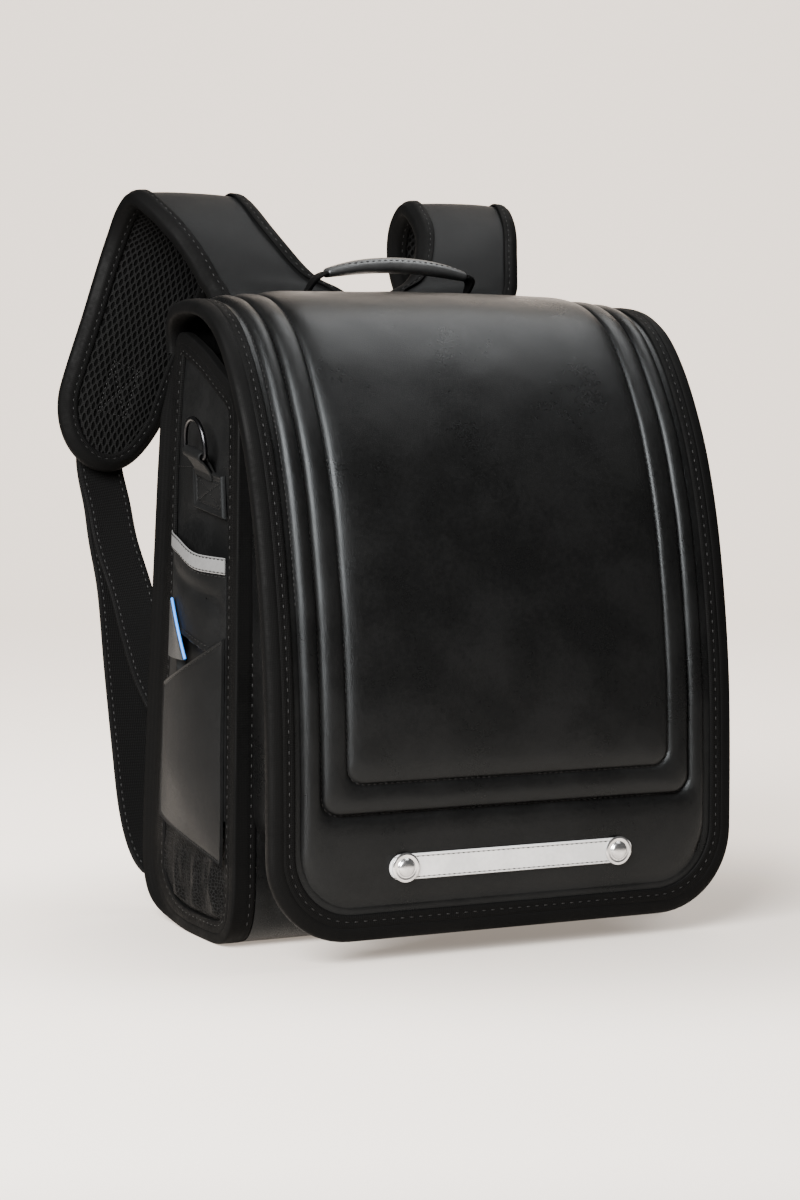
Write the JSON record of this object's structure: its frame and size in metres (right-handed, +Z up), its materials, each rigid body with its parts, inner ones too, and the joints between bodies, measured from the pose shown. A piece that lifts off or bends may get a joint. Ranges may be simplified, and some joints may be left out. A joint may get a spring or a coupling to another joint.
{
  "type": "school backpack",
  "caption": "Stiff box-shaped school backpack with a long padded flap over its top and front, side pockets, padded shoulder straps and a carrying handle.",
  "frame": {"origin": "on the ground under the middle of the body, where its flat bottom rests", "axes": "the flap faces -Y, the wearer's back is at +Y, +X is the viewer's right and +Z is up"},
  "size_m": [0.3258, 0.287, 0.4251],
  "materials": {
    "leather": "satin, fine grain",
    "tape": "ribbed woven tape",
    "webbing": "woven webbing",
    "net": "knitted net",
    "reflective_silver": "reflective satin",
    "reflective_grey": "reflective, matt",
    "piping_blue": "smooth piping",
    "gunmetal": "dark plated, glossy",
    "magnet": "plain",
    "silver": "satin"
  },
  "bodies": {
    "bag": {"back_panel": "leather", "body_wall": "leather", "flap": "leather", "front_pocket": "leather", "yoke": "leather", "handle_grip": "leather", "side_panel_left": "leather", "side_panel_right": "leather", "side_pocket_left": "leather", "side_pocket_right": "leather", "cuff_left": "leather", "cuff_right": "leather", "pocket_lip_left": "leather", "pocket_lip_right": "leather", "ring_tab_left": "leather", "ring_tab_right": "leather", "strap_pad_left": "leather", "strap_pad_right": "leather", "flap_binding": "tape", "side_binding_left": "tape", "side_binding_right": "tape", "strap_binding_left": "tape", "strap_binding_right": "tape", "handle_webbing_left": "webbing", "handle_webbing_right": "webbing", "strap_tail_left": "webbing", "strap_tail_right": "webbing", "lower_strap_left": "webbing", "lower_strap_right": "webbing", "net_left": "net", "net_right": "net", "reflective_strip": "reflective_silver", "pocket_reflector_left": "reflective_grey", "pocket_reflector_right": "reflective_grey", "piping_left": "piping_blue", "piping_right": "piping_blue", "flap_magnet": "magnet", "rivet_left": "silver", "rivet_right": "silver"},
    "d_ring_left": {"d_ring_left": "gunmetal"},
    "d_ring_right": {"d_ring_right": "gunmetal"}
  },
  "joints": [
    {"name": "left_ring_hinge", "type": "hinge", "parent": "bag", "child": "d_ring_left", "pos_m": [-0.14056, -0.0108, 0.2687], "axis": [0, -0.9863, -0.165], "range_deg": [-20, 140]},
    {"name": "right_ring_hinge", "type": "hinge", "parent": "bag", "child": "d_ring_right", "pos_m": [0.14056, -0.0108, 0.2687], "axis": [0, 0.9863, 0.165], "range_deg": [-20, 140]}
  ]
}
